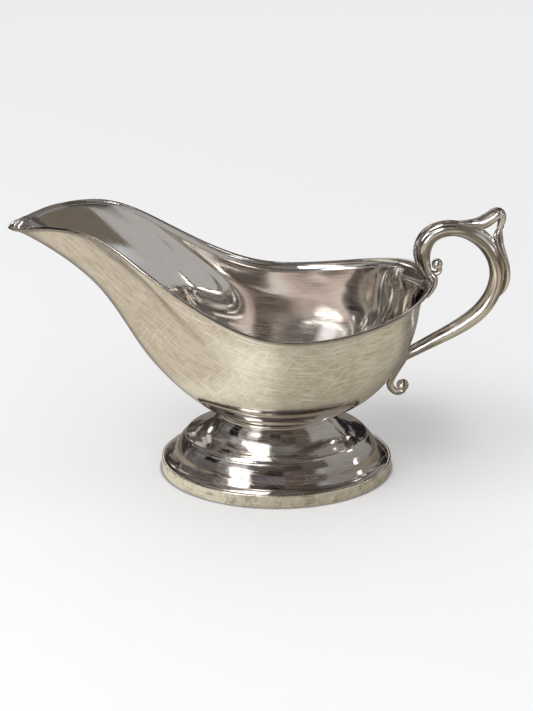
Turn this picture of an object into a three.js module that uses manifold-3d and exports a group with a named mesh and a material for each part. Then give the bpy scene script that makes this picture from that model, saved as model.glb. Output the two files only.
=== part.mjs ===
// Footed sauce boat in sheet silver plate, with a cast scroll handle.
// Millimetres, +Z up. The spout points along -X and the handle along +X.
// Everything is drawn from the centre of the foot on the table, and moved at the end.
import * as THREE from 'three';
import { mergeVertices } from 'three/addons/utils/BufferGeometryUtils.js';
import Module from 'manifold-3d';

// Driving dimensions of the bowl
const spout_reach = 111.6; // foot centre to the tip of the spout
const rear_reach = 66.5; // foot centre to the back of the rim
const bowl_half_width = 42.4;
const waist_height = 82.4; // lowest point of the rim
const crest_height = 120.7; // highest point of the rim, along the spout
const floor_height = 30.6; // underside of the bowl over the foot
const bowl_sheet = 1.1;
const lip_flare = 3.0; // how far the lip turns outward
const lip_rise = 3.0; // height of the turned lip
const tip_flatness = 0.5; // share of that height that the lip loses at the tip of the spout
const spout_narrowing = 0.62; // share of its flare and height that the lip loses beside the spout
const narrowing_start_share = 0.25; // share of the spout's reach where the lip starts to narrow
const narrowing_end_share = 0.7; // share of that reach where it has narrowed
const tip_focus = 3; // how closely the flattened lip keeps to the tip itself
const lip_bend = 1.7; // how far the lip runs on along the wall before it turns
const lip_sheet = 1.1;
const belly_middle = 8.0; // foot centre to the widest part of the belly
const belly_level = 0.2; // share of the waist's height up to which the wall is a plain egg in plan
const rim_level = 0.95; // share of that height from which the wall follows the rim's plan

// Driving dimensions of the foot
const foot_half_length = 52.3;
const foot_half_width = 35.4;
const band_height = 6.2;
const band_sheet = 1.2;
const seat_width = 2.4; // inward shelf of the band, which the pedestal rests on
const seat_sheet = 1.0;
const pedestal_sheet = 1.0;
const neck_half_length = 25.2;
const neck_half_width = 17.9;
const oval_delay = 1.5; // how late, on the way up to the neck, the foot's ovals take the neck's proportions
const collar_radius = 0.95; // bead round the joint under the bowl
const collar_drop_share = 1 / 3; // how far below the bowl's floor the bead's middle lies, in that radius

// Driving dimensions of the handle
const loop_reach = 26.5; // back of the rim to the middle of the arm's back
const loop_rise = 21.9; // back of the rim up to the top of the arm
const loop_drop = 33.2; // back of the rim down to the arm's lower joint
const arm_thickness = 6.3; // seen from the side
const arm_width = 6.0; // across the boat
const leaf_thickness = 2.4;
const leaf_width = 7.6;
const upper_ball_radius = 2.3;
const lower_ball_radius = 2.7;
const knuckle_radius = 1.5;
const tongue_length = 12.0;
const tongue_width = 6.4;
const tail_drop = 48.7; // back of the rim down to where the tail leaves the wall of the bowl
const tail_length = 12.0;
const tail_thickness = 2.8;
const tail_width = 4.4;

// Left open for solder between pieces that meet
const solder_gap = 0.3;

// Outlines, as shares of the dimensions above.
// Rim, half of a symmetric closed curve: reach, half width, height from waist to crest
const rim_outline = [
  [-1.002, 0.0, 0.859], [-0.996, 0.08, 0.906], [-0.954, 0.215, 0.916], [-0.812, 0.361, 1.024],
  [-0.631, 0.547, 0.982], [-0.462, 0.757, 0.627], [-0.264, 0.894, 0.253], [-0.064, 1.007, -0.018],
  [0.314, 1.005, 0.0], [0.704, 0.835, 0.141], [0.937, 0.486, 0.277], [1.032, 0.0, 0.285],
];
// Wall of the bowl from the middle of its floor to the lip: shares of the neck's oval and the rim, height
const spout_profile = [
  [0, 0, 0], [0.55, 0, 0], [1, 0, 0], [0.93, 0.07, 0.02], [0.585, 0.415, 0.33], [0.43, 0.57, 0.735],
  [0.045, 0.955, 0.995], [0, 1, 1],
];
const side_profile = [
  [0, 0, 0], [0.55, 0, 0], [1, 0, 0], [0.72, 0.28, 0.075], [0.41, 0.59, 0.305], [0.15, 0.85, 0.55],
  [0, 1.012, 0.8], [0, 1, 1],
];
const rear_profile = [
  [0, 0, 0], [0.55, 0, 0], [1, 0, 0], [0.8, 0.2, 0.06], [0.46, 0.54, 0.17], [0.08, 0.92, 0.6],
  [0.075, 0.925, 0.91], [0, 1, 1],
];
const profile_blend = 2.4; // how fast the side profile gives way to the spout and rear ones
const wall_start = 1 / (side_profile.length - 1); // where the wall leaves the floor, along its profile
const lip_levels = [0.1, 0.4, 0.7, 0.93]; // shares of the way from the wall to the edge of the lip
// Pedestal from the neck down to the flange: share of the way from foot edge to neck, share of the height
const pedestal_profile = [
  [1.0, 1.12], [1.0, 0.945], [0.93, 0.865], [0.85, 0.77], [0.765, 0.69], [0.68, 0.625], [0.585, 0.57],
  [0.485, 0.525], [0.43, 0.495], [0.402, 0.45], [0.362, 0.405], [0.313, 0.335], [0.26, 0.235],
  [0.215, 0.12], [0.172, 0.035],
];
// Arm: share of the reach, share of the rise or drop, thickness against arm_thickness
const arm_outline = [
  [-0.085, 0.07, 0.4], [-0.16, 0.2, 0.8], [-0.225, 0.4, 1.05], [-0.23, 0.62, 1.2],
  [-0.155, 0.87, 1.21], [0.061, 1.018, 1.15], [0.325, 1.019, 0.98], [0.571, 0.925, 1.14],
  [0.787, 0.718, 1.1], [0.949, 0.412, 1.0], [1.021, 0.057, 1.01], [0.969, -0.223, 1.06],
  [0.787, -0.481, 1.12], [0.502, -0.671, 1.08], [0.171, -0.83, 0.99], [-0.167, -0.996, 0.87],
  [-0.47, -1.14, 0.8],
];
// Leaf of the thumb piece, in the arm's shares, thickness against leaf_thickness, width against leaf_width
const thumb_outline = [
  [0.15, 1.14, 0.42, 0.32], [0.33, 1.125, 0.9, 0.51], [0.5, 1.09, 1.75, 0.63],
  [0.65, 1.095, 2.45, 0.76], [0.785, 1.2, 2.5, 0.92], [0.9, 1.345, 1.95, 1.07],
  [0.98, 1.295, 1.6, 0.8], [0.985, 1.158, 1.45, 0.53], [0.972, 1.055, 1.0, 0.42],
];
const knuckle_place = [0.974, 1.05];
// Leaf on the arm's back, in the same shares
const back_leaf_outline = [
  [0.962, 0.97, 1.15, 0.37], [0.945, 0.82, 2.0, 0.45], [0.99, 0.655, 1.5, 0.69],
  [1.08, 0.426, 1.2, 0.91], [1.147, 0.188, 1.15, 1.04], [1.16, -0.03, 1.15, 0.94],
  [1.125, -0.15, 0.95, 0.71], [1.07, -0.235, 0.4, 0.32],
];
// Curl under the arm's upper end, in the same shares
const curl_outline = [
  [-0.13, 0.2, 0.95, 0.55], [-0.08, 0.1, 0.95, 0.55], [0.005, 0.065, 0.95, 0.5],
  [0.085, 0.13, 0.9, 0.48], [0.07, 0.235, 0.8, 0.45],
];
const upper_ball_place = [0.028, 0.285];
// Tongue lapped over the back of the rim: shares of its length out from the rim's edge and above it,
// thickness against leaf_thickness, width against tongue_width
const tongue_outline = [
  [-0.133, 0.175, 0.5, 0.6], [0.0, 0.135, 0.8, 0.85], [0.055, -0.1, 0.95, 1.0],
  [-0.035, -0.39, 1.05, 0.85], [-0.2, -0.72, 0.6, 0.4],
];
// Tail on the back of the bowl, from its root down: share of its length, distance off the wall, shares
const tail_outline = [
  [1.3, 0.8, 1.3, 1.2], [0.98, 0.95, 1.3, 1.15], [0.65, 1.05, 1.25, 1.1], [0.33, 1.3, 1.2, 1],
  [0, 2.2, 1.15, 0.9],
];
// Curl at the tail's end, in radii of the lower ball from the ball's middle, then the shares
const tail_curl_outline = [
  [-1.6, -0.95, 1.1, 0.85], [-0.6, -1.5, 0.95, 0.8], [0.2, -0.9, 0.9, 0.75],
];
const lower_ball_place = [2.35, -0.2]; // from the tail's end, in the ball's radii

// Facets
const columns = 48;
const wall_rows = 11;
const curve_steps = 3;
const curve_samples = 200;
const ball_columns = 14;
const ball_rows = 10;
const bead_sides = 8;

const wasm = await Module();
wasm.setup();

// A cubic B-spline through evenly spaced knots. An open one starts and ends on its end points.
function spline(points, t, closed = false) {
  const n = points.length;
  const at = (i) => {
    if (closed) return points[(i + n) % n];
    if (i < 0) return points[0].map((v, k) => 2 * v - points[1][k]);
    if (i >= n) return points[n - 1].map((v, k) => 2 * v - points[n - 2][k]);
    return points[i];
  };
  const spans = closed ? n : n - 1;
  const i = closed ? Math.floor(t * spans) : Math.min(Math.floor(t * spans), spans - 1);
  const f = t * spans - i;
  const weight = [(1 - f) ** 3, 3 * f ** 3 - 6 * f ** 2 + 4, -3 * f ** 3 + 3 * f ** 2 + 3 * f + 1, f ** 3];
  return points[0].map((_, k) => weight.reduce((sum, w, j) => sum + (w * at(i + j - 1)[k]) / 6, 0));
}

// A closed body from rings of points. A ring of one point is a pole; open ends are fanned shut.
function loft(rings, around_closed = false) {
  const vertices = [];
  const starts = [];
  for (const ring of rings) {
    starts.push(vertices.length);
    vertices.push(...ring);
  }
  const faces = [];
  const last = around_closed ? rings.length : rings.length - 1;
  for (let r = 0; r < last; r++) {
    const a = rings[r];
    const b = rings[(r + 1) % rings.length];
    const start_a = starts[r];
    const start_b = starts[(r + 1) % rings.length];
    const n = Math.max(a.length, b.length);
    for (let c = 0; c < n; c++) {
      const d = (c + 1) % n;
      if (a.length > 1) faces.push([start_a + c, start_a + d, start_b + (b.length > 1 ? d : 0)]);
      if (b.length > 1) faces.push([start_a + (a.length > 1 ? c : 0), start_b + d, start_b + c]);
    }
  }
  if (!around_closed) {
    const ends = [[rings[0], starts[0], 1], [rings.at(-1), starts.at(-1), -1]];
    for (const [ring, start, turn] of ends) {
      if (ring.length === 1) continue;
      const middle = vertices.length;
      vertices.push(ring.reduce((s, p) => s.map((v, k) => v + p[k] / ring.length), [0, 0, 0]));
      for (let c = 0; c < ring.length; c++) {
        const edge = [start + c, start + ((c + 1) % ring.length)];
        faces.push(turn > 0 ? [middle, edge[1], edge[0]] : [middle, edge[0], edge[1]]);
      }
    }
  }
  return body(vertices, faces);
}

// A solid from points and faces, turned so that its faces point outward
function body(vertices, faces) {
  let volume = 0;
  for (const [a, b, c] of faces) {
    const [p, q, r] = [vertices[a], vertices[b], vertices[c]];
    volume += p[0] * (q[1] * r[2] - q[2] * r[1]) - p[1] * (q[0] * r[2] - q[2] * r[0])
      + p[2] * (q[0] * r[1] - q[1] * r[0]);
  }
  const turned = volume < 0 ? faces.map(([a, b, c]) => [a, c, b]) : faces;
  const vertProperties = Float32Array.from(vertices.flat());
  const triVerts = Uint32Array.from(turned.flat());
  return new wasm.Manifold(new wasm.Mesh({ numProp: 3, vertProperties, triVerts }));
}

function ball(x, z, radius) {
  const sphere = new THREE.SphereGeometry(radius, ball_columns, ball_rows).translate(x, 0, z);
  sphere.deleteAttribute('normal');
  sphere.deleteAttribute('uv');
  const merged = mergeVertices(sphere);
  const vertProperties = merged.attributes.position.array;
  const triVerts = Uint32Array.from(merged.index.array);
  return new wasm.Manifold(new wasm.Mesh({ numProp: 3, vertProperties, triVerts }));
}

// Rim of the bowl. t runs once round, from the spout tip along one side to the back.
const rim_control = (() => {
  const half = rim_outline.map(([u, w, h]) => [
    u * (u < 0 ? spout_reach : rear_reach),
    w * bowl_half_width,
    waist_height + h * (crest_height - waist_height),
  ]);
  const other = half.slice(1, -1).reverse().map(([x, y, z]) => [x, -y, z]);
  return [...half, ...other];
})();

function rim_point(t) {
  const place = new THREE.Vector3(...spline(rim_control, t, true));
  const step = 1e-4;
  const after = new THREE.Vector3(...spline(rim_control, (t + step) % 1, true));
  const before = new THREE.Vector3(...spline(rim_control, (t - step + 1) % 1, true));
  const along = after.sub(before).normalize();
  const out = new THREE.Vector3(-along.y, along.x, 0).normalize();
  return { place, along, out };
}

const rear_end = rim_point(0.5).place;

function smooth(low, high, x) {
  const f = Math.min(Math.max((x - low) / (high - low), 0), 1);
  return f * f * (3 - 2 * f);
}

// The wall as it follows from the rim. s runs from the middle of the floor to the lip.
function raised_point(t, s) {
  const { place, out } = rim_point(t);
  const tip = Math.max(-out.x, 0) ** tip_focus;
  const along = smooth(narrowing_start_share, narrowing_end_share, -place.x / spout_reach);
  const beside = 1 - spout_narrowing * along * (1 - tip);
  const top = place.clone().addScaledVector(out, -lip_flare * beside);
  top.z -= lip_rise * (1 - tip_flatness * tip) * beside;
  const ahead = place.x / Math.hypot(place.x, place.y);
  const lean = Math.abs(ahead) ** profile_blend;
  const side = spline(side_profile, s);
  const end = spline(ahead < 0 ? spout_profile : rear_profile, s);
  const [neck, reach, height] = side.map((v, k) => v * (1 - lean) + end[k] * lean);
  const angle = Math.PI * (1 - 2 * t);
  return new THREE.Vector3(
    neck * neck_half_length * Math.cos(angle) + reach * top.x,
    neck * neck_half_width * Math.sin(angle) + reach * top.y,
    floor_height + (top.z - floor_height) * height,
  );
}

// Curves up the spout, the side and the back, from the edge of the floor: distance from the middle, height
function meridian(point) {
  return Array.from({ length: curve_samples + 1 }, (_, k) => (
    point(wall_start + (k / curve_samples) * (1 - wall_start))));
}

const side_width = bowl_half_width - lip_flare;
const spout_line = meridian((s) => [-raised_point(0, s).x, raised_point(0, s).z]);
const rear_line = meridian((s) => [raised_point(0.5, s).x, raised_point(0.5, s).z]);
const side_line = meridian((s) => {
  const [neck, reach, height] = spline(side_profile, s);
  const rise = waist_height - lip_rise - floor_height;
  return [neck * neck_half_width + reach * side_width, floor_height + height * rise];
});

function distance_at(line, height) {
  const k = line.findIndex(([, z]) => z > height);
  if (k < 1) return line.at(k)[0];
  const [[near, low], [far, high]] = [line[k - 1], line[k]];
  return near + ((far - near) * (height - low)) / (high - low);
}

// Outer surface of the bowl below the lip. Low down, each height is drawn towards an egg.
function wall_point(t, s) {
  const point = raised_point(t, s);
  const level = (point.z - floor_height) / (waist_height - floor_height);
  const drawn = smooth(wall_start, 3 * wall_start, s) * (1 - smooth(belly_level, rim_level, level));
  if (drawn === 0) return point;
  const width = distance_at(side_line, point.z);
  const spread = (width - neck_half_width) / (side_width - neck_half_width);
  const middle = belly_middle * Math.min(Math.max(spread, 0), 1);
  const radius = Math.hypot(point.x - middle, point.y);
  const turn = (point.x - middle) / radius;
  const ahead = middle + distance_at(spout_line, point.z);
  const behind = distance_at(rear_line, point.z) - middle;
  const ends = ((1 + turn) / behind ** 2 + (1 - turn) / ahead ** 2) / 2;
  const egg = (turn ** 2 * ends + (1 - turn ** 2) / width ** 2) ** -0.5;
  const scale = 1 + (egg / radius - 1) * drawn;
  return new THREE.Vector3(middle + (point.x - middle) * scale, point.y * scale, point.z);
}

function wall_normal(t, s) {
  if (s === 0) return new THREE.Vector3(0, 0, -1);
  const step = 1e-3;
  const around = wall_point((t + step) % 1, s).sub(wall_point((t - step + 1) % 1, s));
  const up = wall_point(t, Math.min(s + step, 1)).sub(wall_point(t, s - step));
  return up.cross(around).normalize();
}

// The surface moved along its own normal; positive is outward
function wall_offset(t, s, distance) {
  return wall_point(t, s).addScaledVector(wall_normal(t, s), distance).toArray();
}

const turns = Array.from({ length: columns }, (_, c) => c / columns);
const levels = Array.from({ length: wall_rows + 1 }, (_, r) => r / wall_rows);

function wall_rings(distance) {
  const ring = (s) => turns.map((t) => wall_offset(t, s, distance));
  return levels.map((s) => (s === 0 ? [wall_offset(0, 0, distance)] : ring(s)));
}

function bowl() {
  return loft([...wall_rings(0), ...wall_rings(-bowl_sheet).reverse()]);
}

// The space that the bowl takes up, with clearance, for fitting other pieces against it
function bowl_envelope() {
  return loft([...wall_rings(solder_gap), [[0, 0, waist_height]]]);
}

// A bead or band carried round a plan: path(t) gives a place and its outward direction
function band(path, section) {
  const rings = turns.map((t) => {
    const { x, y, z, out } = path(t);
    return section.map(([away, up]) => [x + out[0] * away, y + out[1] * away, z + up]);
  });
  return loft(rings, true);
}

// Cross-section of the turned lip. It leaves the wall in the wall's own direction and bends out to the rim.
function lip_ring(t, clearance) {
  const { place: edge, along } = rim_point(t);
  const start = wall_point(t, 1);
  const onward = along.clone().cross(wall_normal(t, 1));
  const bend = start.clone().addScaledVector(onward, lip_bend);
  const curve = new THREE.QuadraticBezierCurve3(start, bend, edge);
  const at = (share, depth) => {
    const normal = curve.getTangent(share).cross(along).normalize();
    const away = clearance * (1 - 2 * depth) - depth * lip_sheet;
    return curve.getPoint(share).addScaledVector(normal, away).toArray();
  };
  const outer = lip_levels.map((share) => at(share, 0));
  const crown = [at(1, 1 / 3), at(1, 2 / 3)];
  const inner = lip_levels.map((share) => at(share, 1)).reverse();
  return [...outer, ...crown, ...inner];
}

function turned_lip(clearance) {
  return loft(turns.map((t) => lip_ring(t, clearance)), true);
}

// Ovals of the foot. share is 0 at the edge of the foot and 1 at the neck.
function foot_oval(share, angle) {
  const inset = share * (foot_half_length - neck_half_length);
  const spare = foot_half_length - neck_half_length - (foot_half_width - neck_half_width);
  const a = foot_half_length - inset;
  const b = foot_half_width - inset + share ** oval_delay * spare;
  return [a * Math.cos(angle), b * Math.sin(angle)];
}

function oval_path(half_length, half_width, z) {
  return (t) => {
    const angle = 2 * Math.PI * t;
    const x = half_length * Math.cos(angle);
    const y = half_width * Math.sin(angle);
    const steep = Math.hypot(x / half_length ** 2, y / half_width ** 2);
    return { x, y, z, out: [x / half_length ** 2 / steep, y / half_width ** 2 / steep] };
  };
}

const foot_edge = oval_path(foot_half_length, foot_half_width, 0);

// Upright strip round the base, with a shelf inside its top edge
function foot_band() {
  const shelf_top = band_height - pedestal_sheet - solder_gap;
  const shelf_bottom = shelf_top - seat_sheet;
  return band(foot_edge, [
    [0, 0], [0, band_height], [-band_sheet, band_height], [-band_sheet, shelf_top],
    [-band_sheet - seat_width, shelf_top], [-band_sheet - seat_width, shelf_bottom],
    [-band_sheet, shelf_bottom], [-band_sheet, 0],
  ]);
}

function pedestal_point(share, height, angle) {
  const z = band_height + height * (floor_height - band_height);
  return new THREE.Vector3(...foot_oval(share, angle), z);
}

// Stamped oval foot, hollow below and open at the neck, with its flange inside the band
function pedestal() {
  const profile = pedestal_profile;
  const step = 1e-3;
  const under = (r, angle) => {
    const [a, b] = [profile[Math.max(r - 1, 0)], profile[Math.min(r + 1, profile.length - 1)]];
    const down = pedestal_point(...b, angle).sub(pedestal_point(...a, angle));
    const place = (turn) => pedestal_point(...profile[r], turn);
    const inward = place(angle + step).sub(place(angle - step)).cross(down).normalize();
    return place(angle).addScaledVector(inward, pedestal_sheet).toArray();
  };
  const angles = turns.map((t) => 2 * Math.PI * t);
  const outer = profile.map((row) => angles.map((angle) => pedestal_point(...row, angle).toArray()));
  const inner = profile.slice(0, -1).map((row, r) => angles.map((angle) => under(r, angle)));
  const flange = (away, z) => turns.map((t) => {
    const { x, y, out } = foot_edge(t);
    return [x + out[0] * away, y + out[1] * away, z];
  });
  const edge = -band_sheet - solder_gap;
  const [top, bottom] = [band_height, band_height - pedestal_sheet];
  const throat = angles.map((angle) => {
    const p = pedestal_point(...profile.at(-1), angle);
    const inset = pedestal_sheet / Math.hypot(p.x, p.y);
    return [p.x * (1 - inset), p.y * (1 - inset), bottom];
  });
  return loft([...outer, flange(edge, top), flange(edge, bottom), throat, ...inner.reverse()], true);
}

function round_section(radius, points) {
  return Array.from({ length: points }, (_, k) => {
    const angle = (2 * Math.PI * k) / points;
    return [radius * Math.cos(angle), radius * Math.sin(angle)];
  });
}

// Bead round the neck, where the foot meets the bowl
function neck_collar() {
  const away = collar_radius + solder_gap;
  const height = floor_height - collar_radius * collar_drop_share;
  const path = oval_path(neck_half_length + away, neck_half_width + away, height);
  return band(path, round_section(collar_radius, bead_sides));
}

// Place in the plane of the handle, from the arm's shares
function handle_place(u, v) {
  return [rear_end.x + u * loop_reach, rear_end.z + v * (v > 0 ? loop_rise : loop_drop)];
}

// A limb in the plane of the handle. Each row is x, z, half thickness and half width.
function limb(rows, { sides = 10, steps = curve_steps, clearance = 0, ridge = 0 } = {}) {
  const count = (rows.length - 1) * steps;
  const rings = [];
  for (let k = 0; k <= count; k++) {
    const t = k / count;
    const [x, z, thick, wide] = spline(rows, t);
    const [ax, az] = spline(rows, Math.min(t + 1e-3, 1));
    const [bx, bz] = spline(rows, Math.max(t - 1e-3, 0));
    const length = Math.hypot(ax - bx, az - bz);
    const normal = [-(az - bz) / length, (ax - bx) / length];
    rings.push(Array.from({ length: sides }, (_, c) => {
      const angle = (2 * Math.PI * c) / sides;
      const swell = 1 + ridge * Math.cos(2 * angle);
      const away = (thick * swell + clearance) * Math.cos(angle);
      const side = (wide * swell + clearance) * Math.sin(angle);
      return [x + normal[0] * away, side, z + normal[1] * away];
    }));
  }
  return loft(rings);
}

function handle_rows(outline, thickness, width) {
  return outline.map(([u, v, thick, wide = thick]) => [
    ...handle_place(u, v), (thick * thickness) / 2, (wide * width) / 2,
  ]);
}

const arm_rows = handle_rows(arm_outline, arm_thickness, arm_width);

// Place on the middle line of the bowl's back, at a height and a distance off the wall
function rear_wall_place(height, away) {
  const step = 0.002;
  let s = step;
  while (s < 1 && wall_point(0.5, s).z < height) s += step;
  const [x, , z] = wall_offset(0.5, s, away);
  return [x, z];
}

// The tail follows the wall down, then curls round to a ball that stands clear of the wall
function tail_rows() {
  const off_wall = solder_gap + tail_thickness / 2;
  return tail_outline.map(([rise, away, thick, wide]) => [
    ...rear_wall_place(rear_end.z - tail_drop + rise * tail_length, away * off_wall),
    (thick * tail_thickness) / 2, (wide * tail_width) / 2,
  ]);
}

function tail_curl_rows([centre_x, centre_z]) {
  return tail_curl_outline.map(([across, up, thick, wide]) => [
    centre_x + across * lower_ball_radius, centre_z + up * lower_ball_radius,
    (thick * tail_thickness) / 2, (wide * tail_width) / 2,
  ]);
}

function tongue_rows() {
  return tongue_outline.map(([out, up, thick, wide]) => [
    rear_end.x + out * tongue_length, rear_end.z + up * tongue_length,
    (thick * leaf_thickness) / 2, (wide * tongue_width) / 2,
  ]);
}

const silver_satin = { color: 0xcdc6ae, roughness: 0.32, metalness: 1.0 };
const silver_polished = { color: 0xb9b6b0, roughness: 0.1, metalness: 1.0 };
const silver_cast = { color: 0xb0a99b, roughness: 0.18, metalness: 1.0 };

const assembly = new THREE.Group();

// A piece filed to fit the ones that it meets. Only its largest part is kept; offcuts fall away.
function fitted(piece, ...neighbours) {
  const cut = neighbours.reduce((rest, neighbour) => rest.subtract(neighbour), piece);
  return cut.decompose().reduce((most, part) => (part.volume() > most.volume() ? part : most));
}

function add(name, solid, finish) {
  const mesh = solid.getMesh();
  const geometry = new THREE.BufferGeometry();
  geometry.setAttribute('position', new THREE.BufferAttribute(new Float32Array(mesh.vertProperties), 3));
  geometry.setIndex(new THREE.BufferAttribute(new Uint32Array(mesh.triVerts), 1));
  geometry.computeVertexNormals();
  const piece = new THREE.Mesh(geometry, new THREE.MeshStandardMaterial(finish));
  piece.name = name;
  assembly.add(piece);
}

// Sheet work
const clear_of_bowl = bowl_envelope();
const clear_of_lip = turned_lip(solder_gap);

add('bowl', bowl(), silver_satin);
add('rim_wire', turned_lip(0), silver_polished);
add('neck_collar', fitted(neck_collar(), clear_of_bowl), silver_satin);
add('pedestal', fitted(pedestal(), clear_of_bowl), silver_polished);
add('foot_band', foot_band(), silver_satin);

// Cast handle
const arm_shape = { sides: 12, ridge: 0.05 };
const arm = fitted(limb(arm_rows, arm_shape), clear_of_bowl, clear_of_lip);
const clear_of_arm = limb(arm_rows, { ...arm_shape, clearance: solder_gap });
const tongue = fitted(limb(tongue_rows()), clear_of_bowl, clear_of_lip, clear_of_arm);
const clear_of_tongue = limb(tongue_rows(), { clearance: solder_gap });

const [upper_x, upper_z] = handle_place(...upper_ball_place);
const upper_ball = ball(upper_x, upper_z, upper_ball_radius);
const curl = limb(handle_rows(curl_outline, leaf_thickness, leaf_width)).add(upper_ball);
const upper_terminal = fitted(curl, clear_of_arm, clear_of_tongue, clear_of_lip);

const [knuckle_x, knuckle_z] = handle_place(...knuckle_place);
const knuckle = ball(knuckle_x, knuckle_z, knuckle_radius);
const clear_of_knuckle = ball(knuckle_x, knuckle_z, knuckle_radius + solder_gap);
const thumb = limb(handle_rows(thumb_outline, leaf_thickness, leaf_width)).add(knuckle);
const leaf = limb(handle_rows(back_leaf_outline, leaf_thickness, leaf_width));

const tail = tail_rows();
const lower_ball_centre = lower_ball_place.map((share, k) => tail.at(-1)[k] + share * lower_ball_radius);
const lower_ball = ball(...lower_ball_centre, lower_ball_radius);
const tail_and_ball = limb([...tail, ...tail_curl_rows(lower_ball_centre)]).add(lower_ball);

add('handle_scroll', arm, silver_cast);
add('rim_tongue', tongue, silver_cast);
add('upper_terminal', upper_terminal, silver_cast);
add('thumb_piece', fitted(thumb, clear_of_arm), silver_cast);
add('back_leaf', fitted(leaf, clear_of_arm, clear_of_knuckle), silver_cast);
add('lower_terminal', fitted(tail_and_ball, clear_of_bowl, clear_of_arm), silver_cast);

// The origin is on the table, under the middle of the whole boat
const extent = new THREE.Box3().setFromObject(assembly);
assembly.position.x = -(extent.min.x + extent.max.x) / 2;

export default assembly;
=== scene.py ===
import math

import bpy
import numpy as np
from bpy.props import FloatProperty, FloatVectorProperty, PointerProperty
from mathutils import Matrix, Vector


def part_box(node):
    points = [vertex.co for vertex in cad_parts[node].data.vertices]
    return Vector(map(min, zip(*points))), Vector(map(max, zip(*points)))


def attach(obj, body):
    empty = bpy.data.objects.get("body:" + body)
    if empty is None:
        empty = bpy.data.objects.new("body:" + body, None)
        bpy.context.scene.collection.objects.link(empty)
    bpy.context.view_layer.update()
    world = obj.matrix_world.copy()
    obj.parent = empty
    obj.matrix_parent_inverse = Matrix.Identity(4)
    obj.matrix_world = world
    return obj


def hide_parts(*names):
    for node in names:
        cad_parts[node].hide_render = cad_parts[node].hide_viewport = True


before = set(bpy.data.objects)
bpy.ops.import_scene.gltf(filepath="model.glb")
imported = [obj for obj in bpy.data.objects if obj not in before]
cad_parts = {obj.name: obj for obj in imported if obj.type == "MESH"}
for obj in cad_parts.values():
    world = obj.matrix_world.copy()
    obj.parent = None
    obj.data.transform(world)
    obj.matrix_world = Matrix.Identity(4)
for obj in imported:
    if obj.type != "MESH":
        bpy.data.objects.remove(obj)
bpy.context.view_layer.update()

bl_info = {
    "name": "Silver Sauce Boat",
    "version": (1, 0, 0),
    "blender": (4, 5, 0),
    "location": "View3D > Sidebar > Sauce Boat",
    "description": "Builds a footed silver sauce boat with a scroll handle around its packed solids",
    "category": "Mesh",
}

# The box of the solids, kept before anything is added
FOOT_X = float(sum(corner[0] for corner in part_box("foot_band"))) / 2

MM = 0.001
SOLDER_GAP, FLANGE_GAP, BAND_ROUNDING = 0.3 * MM, 0.1 * MM, 0.35 * MM
RELIEF = 0.01 * MM  # height of a bump of one
STEP = 1e-4  # share of a curve over which its slope is taken
BOWL_ROWS, BOWL_COLUMNS = 118, 352
LIP_COLUMNS, LIP_STEPS, LIP_EDGE_STEPS = 640, 14, 7
PEDESTAL_STEPS, FOOT_COLUMNS, BAND_COLUMNS, BEAD_SIDES = 8, 256, 320, 20
WALL_SAMPLES = 900


def length(name, description, millimetres):
    """A length property, typed in millimetres and kept in metres."""
    return FloatProperty(name=name, description=description, default=millimetres * MM, min=0.0,
                         precision=5, unit="LENGTH", subtype="DISTANCE")


def share(name, description, value, most=1.0):
    """A number without a unit, from nothing up to a stated most."""
    return FloatProperty(name=name, description=description, default=value, min=0.0, max=most, precision=3)


def colour(name, description, value):
    """A linear colour property."""
    return FloatVectorProperty(name=name, description=description, default=value, size=3, min=0.0, max=1.0,
                               subtype="COLOR")


class BowlSizes(bpy.types.PropertyGroup):
    spout_reach: length("Spout reach", "Middle of the foot to the tip of the spout", 111.6)
    rear_reach: length("Rear reach", "Middle of the foot to the back of the rim", 66.5)
    half_width: length("Half width", "Half the width of the bowl at the rim", 42.4)
    waist: length("Waist height", "Lowest point of the rim", 82.4)
    crest: length("Crest height", "Highest point of the rim, along the spout", 120.7)
    floor: length("Floor height", "Underside of the bowl over the foot", 30.6)
    sheet: length("Sheet", "Thickness of the silver sheet", 1.1)
    lip_flare: length("Lip flare", "How far the lip turns outward", 3.0)
    lip_rise: length("Lip rise", "Height of the turned lip", 3.0)
    lip_bend: length("Lip bend", "How far the lip runs on along the wall before it turns", 1.7)
    tip_flatness: share("Tip flatness", "Share of its rise that the lip loses at the tip of the spout", 0.5)
    spout_narrowing: share("Spout narrowing", "Share of flare and rise the lip loses beside the spout", 0.62)
    profile_blend: share("Profile blend", "How fast the side profile gives way to the end ones", 2.4, 6.0)
    belly_middle: length("Belly middle", "Middle of the foot to the widest part of the belly", 8.0)


class FootSizes(bpy.types.PropertyGroup):
    half_length: length("Half length", "Half the length of the foot", 52.3)
    half_width: length("Half width", "Half the width of the foot", 35.4)
    band_height: length("Band height", "Height of the upright band round the base", 6.2)
    band_sheet: length("Band sheet", "Thickness of the band", 1.2)
    seat_width: length("Seat width", "Inward shelf that the pedestal rests on", 2.4)
    sheet: length("Sheet", "Thickness of the pedestal's sheet", 1.0)
    neck_half_length: length("Neck half length", "Half the length of the neck under the bowl", 25.2)
    neck_half_width: length("Neck half width", "Half the width of the neck under the bowl", 17.9)
    bead: length("Bead radius", "Radius of the bead round the neck", 0.95)


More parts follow.
